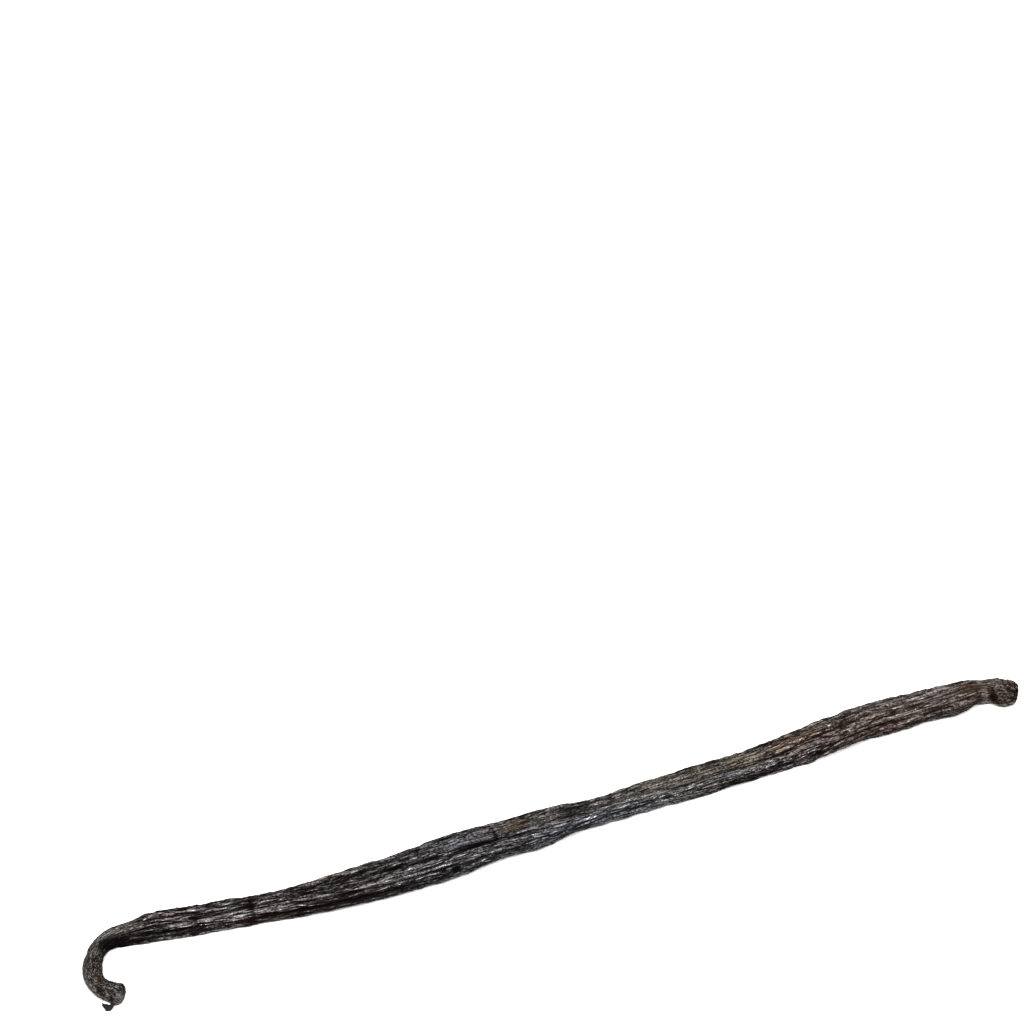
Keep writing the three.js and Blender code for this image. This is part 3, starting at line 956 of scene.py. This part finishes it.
# Dabs below zero are partly painted shade, as in the hollow under the neck and along the lower edges, and
# partly dark patches of the skin; some dabs above zero are painted highlights on crests.
TONE_AND_PAINTED_LIGHT_DABS = [  # from the stalk to the tip, written as the zones are: below zero for darker
    (0.1, 0.5, 130, 70, -0.6), (1.4, 1, 18, 34, -1), (3, 3.5, 110, 70, 0.12),
    (3.2, 0.8, 38, 26, -1), (4.5, 0.9, 108, 30, -0.75), (8.7, 0.7, 125, 40, -0.6),
    (10.6, 0.8, 60, 24, -0.5), (12, 1.6, 128, 40, -0.9), (12.8, 1.8, 85, 35, -0.45),
    (14.4, 2, 156, 30, -1), (14.5, 2.6, 205, 40, -1), (17, 4, 186, 34, -0.8),
    (21.5, 2.2, 88, 22, -0.22), (24, 7, 188, 22, -0.5), (27, 6, 128, 13, 0.5),
    (33.5, 4.5, 130, 14, -0.25), (35.5, 3, 172, 24, -0.5), (35.8, 0.6, 108, 50, -0.8),
    (40.5, 2.2, 88, 20, 0.35), (43, 6, 198, 20, 1.6), (47, 3.6, 66, 18, -0.9),
    (47, 9, 153, 10, -0.6), (48.5, 7, 136, 8, -0.6), (50, 2, 86, 18, -0.35),
    (50, 2.4, 122, 20, -0.5), (53, 3, 68, 11, -0.9), (54.5, 2.5, 128, 14, 0.5),
    (56, 3, 88, 6, -0.4), (60, 2, 86, 20, 0.3), (62, 4, 98, 6, -0.6), (67.6, 1, 155, 12, -0.7),
    (69.5, 2.2, 168, 16, -0.4), (71.5, 4, 84, 22, -0.68), (72.3, 3.4, 106, 9, -1),
    (75, 2, 168, 16, 0.35), (75.5, 0.25, 88, 24, -0.9), (75.5, 2.6, 130, 13, 0.85),
    (79.5, 3.5, 76, 20, -0.4), (85.5, 2.4, 84, 22, 0.8), (90, 2, 130, 14, 0.2),
    (94.5, 2.5, 130, 20, -0.55), (110.5, 2.4, 148, 26, 0.35), (116.5, 2.5, 86, 20, -0.28),
    (118, 9, 192, 22, -0.75), (127.5, 2.5, 132, 18, 1.2), (128, 4, 84, 30, -0.3),
    (132, 2.4, 168, 18, 0.3), (146, 5, 190, 22, -0.8), (148.5, 2.5, 86, 22, -0.32),
    (154.3, 2.2, 102, 38, 0.28), (159.5, 3, 104, 50, -0.2), (161.4, 0.7, 130, 45, 1.2),
    (163.2, 0.8, 152, 40, -1), (164, 0.8, 188, 36, -0.8), (166.8, 0.8, 120, 50, -0.7),
]

tone_and_painted_light = BACK_WEIGHT
weight = BACK_WEIGHT
for angle, stations in BROAD_TONES_AND_PAINTED_LIGHT.items():
    share = np.exp(-apart(phi, angle, BROAD_WIDTH) ** 2)
    tone_and_painted_light = tone_and_painted_light + share * through(stations, s)
    weight = weight + share
tone_and_painted_light = tone_and_painted_light / weight * (1 + marks_at(s, phi, TONE_AND_PAINTED_LIGHT_DABS))
# the skin's own tone together with painted shade and painted highlights, kept on the points
store(pod.data, "tone_and_painted_light", np.clip(tone_and_painted_light, *TONE_AND_PAINTED_LIGHT_LIMITS))
print(len(BROAD_TONES_AND_PAINTED_LIGHT), "rows and", len(TONE_AND_PAINTED_LIGHT_DABS), "dabs of wash")


# %% [markdown]
# ## The grain of the skin
#
# Cured skin looks fibrous. Its finest ridges are a few tenths of a millimetre wide and several
# millimetres long, too fine for the mesh. Noise, wavy lines and the gaps between cells draw them,
# all stretched along the pod and read at the place on the straight rod. The dry stalk has short
# scales instead, and the knob has crumbs.

# %% Streaks, lines and cells
cured, skin_shader = new_material("cured skin")
Wire.tree = cured.node_tree

on_skin = attribute("on_rod", "Vector")
dry = attribute("dry")
spongy = attribute("spongy")
oily = attribute("oily")
short_grained = (dry + spongy).between(0, 1)

# length and width of the marks, and a seed
streaks = speckle(on_skin, 4.6, 0.17, 3.1) * (1 - short_grained)
streaks = streaks + speckle(on_skin, 0.5, 0.2, 6.6) * short_grained
blotches = speckle(on_skin, 5, 2.2, 9.7)
dust = speckle(on_skin, 0.36, 0.19, 5.3, detail=2)
beads = speckle(on_skin, 0.34, 0.24, 7.7, detail=1).between(0.52, 0.7)
# the same, and the width of the line or gap
long_lines = lines(on_skin, 6, 0.8, 4.4, 0.07)
short_lines = lines(on_skin, 2, 0.35, 8.2, 0.09)
net = cells(on_skin, 4.5, 0.37, 2.7, 0.24)
fibres = cells(on_skin, 3, 0.26, 6.1, 0.4)
scales = cells(on_skin, 0.9, 0.36, 1.3, 0.46)
crumbs = cells(on_skin, 0.8, 0.75, 5.9, 0.3)
print("grain:", len(cured.node_tree.nodes), "nodes")


# %% [markdown]
# ## The colour of the skin
#
# The colour is mixed from a nearly black one, which the valleys get as painted shade and the
# lines get too, and what a crest has. A crest's own colour comes from the zones. How much of it
# shows is a product: valleys take some of it away as painted shade, lines and gaps each take some
# of it away, streaks, dust and blotches break it up, and the wash makes it paler or darker, with
# the painted shade and highlights that it holds.

# %% How much of the crests' colour shows
MIDDLE = (0.35, 0.65)  # noise from 0 to 1 is mostly between these
CREST_HEIGHTS = (-0.12, 0.1)  # what stands out less is a valley, and more a crest
FINE_CREST_HEIGHTS = (-0.075, 0.02)
# the valleys and fine valleys take the crests' colour away as painted shade
TAKES = {  # how much of the crests' colour each mark takes away
    "valleys": 0.75, "fine valleys": 0.85, "long lines": 0.8, "short lines": 0.5, "net": 0.85,
    "crumbs": 0.8, "fibres": 0.7,
}
BRIGHTEN = 2.65
CONTRAST = 1.2
DRY_TAKES = 0.3

lines_and_valley_shade = attribute("lines_and_valley_shade")
paleness_with_painted_light = attribute("tone_and_painted_light")
crest = attribute("stands").between(*CREST_HEIGHTS)
fine_crest = attribute("stands_fine").between(*FINE_CREST_HEIGHTS)
lined = dimmed(TAKES["long lines"] * lines_and_valley_shade, long_lines)
lined = lined * dimmed(TAKES["short lines"] * lines_and_valley_shade, short_lines)
gaps = TAKES["net"] * lines_and_valley_shade.between(0, 0.8) * (1 - dry) * (1 - net) + dry * (1 - scales)
gaps = gaps * (1 - spongy) + TAKES["crumbs"] * spongy * (1 - crumbs)
lined = lined * (1 - gaps) * dimmed(TAKES["fibres"] * (1 - short_grained), fibres)
grainy = streaks.between(*MIDDLE).ranging(0.2, 1.8) * dust.between(0.36, 0.64).ranging(0.3, 1.8)
# painted shade in the valleys between the folds and between the fine wrinkles
painted_valley_shade = dimmed(TAKES["fine valleys"] * lines_and_valley_shade, fine_crest) * dimmed(TAKES["valleys"] * lines_and_valley_shade, crest)
lightness = painted_valley_shade * lined * grainy * blotches.between(*MIDDLE).ranging(0.7, 1.3)
lightness = BRIGHTEN * lightness**CONTRAST * paleness_with_painted_light * (1 - DRY_TAKES * dry)
print("lightness:", len(cured.node_tree.nodes), "nodes")


# %% Mix the colour
NEARLY_BLACK = (0.0012, 0.0009, 0.0008)
# the dark end of the mix, for the painted shade in the valleys and for the dark lines, warmer in the
# russet and amber zones
SHADE_AND_LINE_COLOURS = {"russet": (0.004, 0.0015, 0.0012), "amber": (0.008, 0.004, 0.002)}
CREST = (0.07, 0.065, 0.062)
WARM_CREST = (0.074, 0.063, 0.058)
CREST_COLOURS = {
    # slate: partly the skin's own blue-grey, partly a painted reflection of its sheen
    "slate_and_painted_sheen": (0.059, 0.065, 0.078),
    "olive": (0.079, 0.069, 0.05),
    "russet": (0.092, 0.063, 0.056),
    "amber": (0.086, 0.056, 0.034),
    "dry": (0.115, 0.103, 0.093),
    "spongy": (0.067, 0.056, 0.042),
}

shade_and_line_colour = NEARLY_BLACK
for zone, zone_colour in SHADE_AND_LINE_COLOURS.items():
    shade_and_line_colour = mix(attribute(zone), shade_and_line_colour, zone_colour)
tone = mix(blotches.between(*MIDDLE), CREST, WARM_CREST)
for zone, zone_colour in CREST_COLOURS.items():
    tone = mix(attribute(zone) * blotches.ranging(0.35, 1.25), tone, zone_colour)
skin_colour = mix(lightness, shade_and_line_colour, tone)
print("colour:", len(cured.node_tree.nodes), "nodes")


# %% [markdown]
# ## Gloss, and what is finer than the mesh
#
# A thin film of dried oil shines on the crests. A coat is that film: its weight follows the
# crests, and streaks and dust break it up. The oily stretches have small beads too. The skin
# under the film is matt, most of all where it is dusty or dry. The marks that colour the skin
# also raise it, with a Bump node.

# %% Gloss and bump of the cured skin
COAT_ROUGHNESS = 0.28
COAT_IOR = 1.7
GRAIN_HEIGHT = 0.26 * MM

matt = 0.5 - 0.14 * crest + 0.2 * dust.between(0.4, 0.7) + 0.12 * dry
film = fine_crest * crest.ranging(0.3, 1) * lined * oily.ranging(1.3, 2.1)
film = film * streaks.between(0.3, 0.6) * (1 - 0.6 * dry) * (1 - 0.9 * spongy)
film = film * dust.between(0.4, 0.62).ranging(0.25, 1.55) * paleness_with_painted_light.between(0, 0.9)
film = Wire.math("MINIMUM", film + oily * beads * fine_crest, 1)
raised = 0.5 * streaks + 0.4 * dust - 0.3 * gaps + 0.1 * fibres + 0.1 * short_lines
raised = raised + 0.1 * long_lines + 0.25 * beads * oily
skin_grain = {"Height": raised, "Distance": GRAIN_HEIGHT, "Strength": 1}
skin_finish = {
    "Base Color": skin_colour,
    "Roughness": matt,
    "Specular IOR Level": 0,
    "Coat Weight": film,
    "Coat Roughness": COAT_ROUGHNESS,
    "Coat IOR": COAT_IOR,
    "Normal": Wire.node("ShaderNodeBump", {}, skin_grain),
}
Wire.feed(skin_shader, skin_finish)
pod.data.materials.append(cured)
deselect_all()
pod.select_set(True)
bpy.context.view_layer.objects.active = pod
bpy.ops.object.shade_smooth()
print("cured skin:", len(cured.node_tree.nodes), "nodes")


# %% [markdown]
# ## The scrap of bract
#
# A dried shred of the little leaf under the flower still hangs on the stalk's end by a thread.
# By hand it would be a small ring that is pulled out of the stalk step by step, each step with
# its own size. Extrude does that. Subdividing its faces without rounding them keeps it angular,
# like a flake, and a Displace modifier crumples them.

# %% Pull the scrap out of the stalk
SCRAP = [  # along the stalk, to its left, height, radius
    (1.3, 0.8, 1.25, 0.42),
    (1.3, 1.6, 1, 0.3),
    (1.35, 1.9, 0.8, 0.3),
    (1.7, 2.1, 0.62, 0.54),
    (2.2, 2.15, 0.62, 0.52),
    (2.5, 2, 0.66, 0.28),
    (2.95, 1.8, 0.86, 0.1),
]
SCRAP_SIDES = 12
SCRAP_LEVELS = 3  # how often its faces are cut in four
CRUMPLE = {"size": 0.35, "height": 0.3}

start_heading = radians(FIRST_HEADING)
along_stalk = Vector((cos(start_heading), sin(start_heading), 0))
left_of_stalk = Vector((-sin(start_heading), cos(start_heading), 0))


def scrap_place(station):
    """A station of the scrap, in the frame."""
    along, to_left, height, _ = station
    ground = STALK_END.to_3d() + along * along_stalk + to_left * left_of_stalk
    return (ground + Vector((0, 0, height))) * MM


places = [scrap_place(station) for station in SCRAP]
deselect_all()
bpy.ops.mesh.primitive_circle_add(
    vertices=SCRAP_SIDES,
    radius=SCRAP[0][3] * MM,
    fill_type="NGON",
    location=places[0],
    rotation=(places[1] - places[0]).to_track_quat("Z", "Y").to_euler(),
)
scrap = bpy.context.object
scrap.name = "bract_scrap"
bpy.ops.object.transform_apply(location=True, rotation=True, scale=True)
bpy.ops.object.mode_set(mode="EDIT")
bpy.ops.mesh.select_all(action="SELECT")
direction = places[1] - places[0]
for before, station, here, there in zip(SCRAP, SCRAP[1:], places, places[1:]):
    step = there - here
    bpy.ops.mesh.extrude_region_move(TRANSFORM_OT_translate={"value": step})
    grow = station[3] / before[3]
    bpy.ops.transform.resize(value=(grow, grow, grow), center_override=there)
    turn = direction.to_2d().angle_signed(step.to_2d(), 0)
    bpy.ops.transform.rotate(value=turn, orient_axis="Z", center_override=there)
    direction = step
bpy.ops.mesh.select_all(action="SELECT")
bpy.ops.mesh.normals_make_consistent(inside=False)
bpy.ops.object.mode_set(mode="OBJECT")

crumple = bpy.data.textures.new("crumple", "CLOUDS")
crumple.noise_scale = CRUMPLE["size"] * MM
dividing = scrap.modifiers.new("divide it", "SUBSURF")
dividing.subdivision_type = "SIMPLE"
dividing.levels = SCRAP_LEVELS
dividing.render_levels = SCRAP_LEVELS
crumpling = scrap.modifiers.new("crumple it", "DISPLACE")
crumpling.texture = crumple
crumpling.strength = CRUMPLE["height"] * MM
crumpling.texture_coords = "LOCAL"
for modifier in ("divide it", "crumple it"):
    bpy.ops.object.modifier_apply(modifier=modifier)
bpy.ops.object.shade_smooth()
print("scrap:", len(scrap.data.polygons), "faces")


# %% Finish of the dry scrap
BRACT_GREY = (0.005, 0.005, 0.0043)
FLECK_SIZE = 0.4
FLECK_HEIGHT = 0.1 * MM

dry_bract, bract_shader = new_material("dry bract")
Wire.tree = dry_bract.node_tree
on_bract = Wire.node("ShaderNodeTexCoord", output="Object")
flecks = speckle(on_bract, FLECK_SIZE, FLECK_SIZE, 2.2)
bract_grain = {"Height": flecks, "Distance": FLECK_HEIGHT, "Strength": 0.7}
bract_finish = {
    "Base Color": mix(flecks.between(*MIDDLE), NEARLY_BLACK, BRACT_GREY),
    "Roughness": flecks.ranging(0.6, 0.9),
    "Specular IOR Level": 0.1,
    "Normal": Wire.node("ShaderNodeBump", {}, bract_grain),
}
Wire.feed(bract_shader, bract_finish)
scrap.data.materials.append(dry_bract)
print("dry bract:", len(dry_bract.node_tree.nodes), "nodes")


# %% [markdown]
# ## The pieces ride on the root
#
# Both pieces ride on the root body, and the plain solid is hidden.

# %% Ride on the root, and hide the plain solid
for piece in (pod, scrap):
    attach(piece, "root")
    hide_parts("pod")
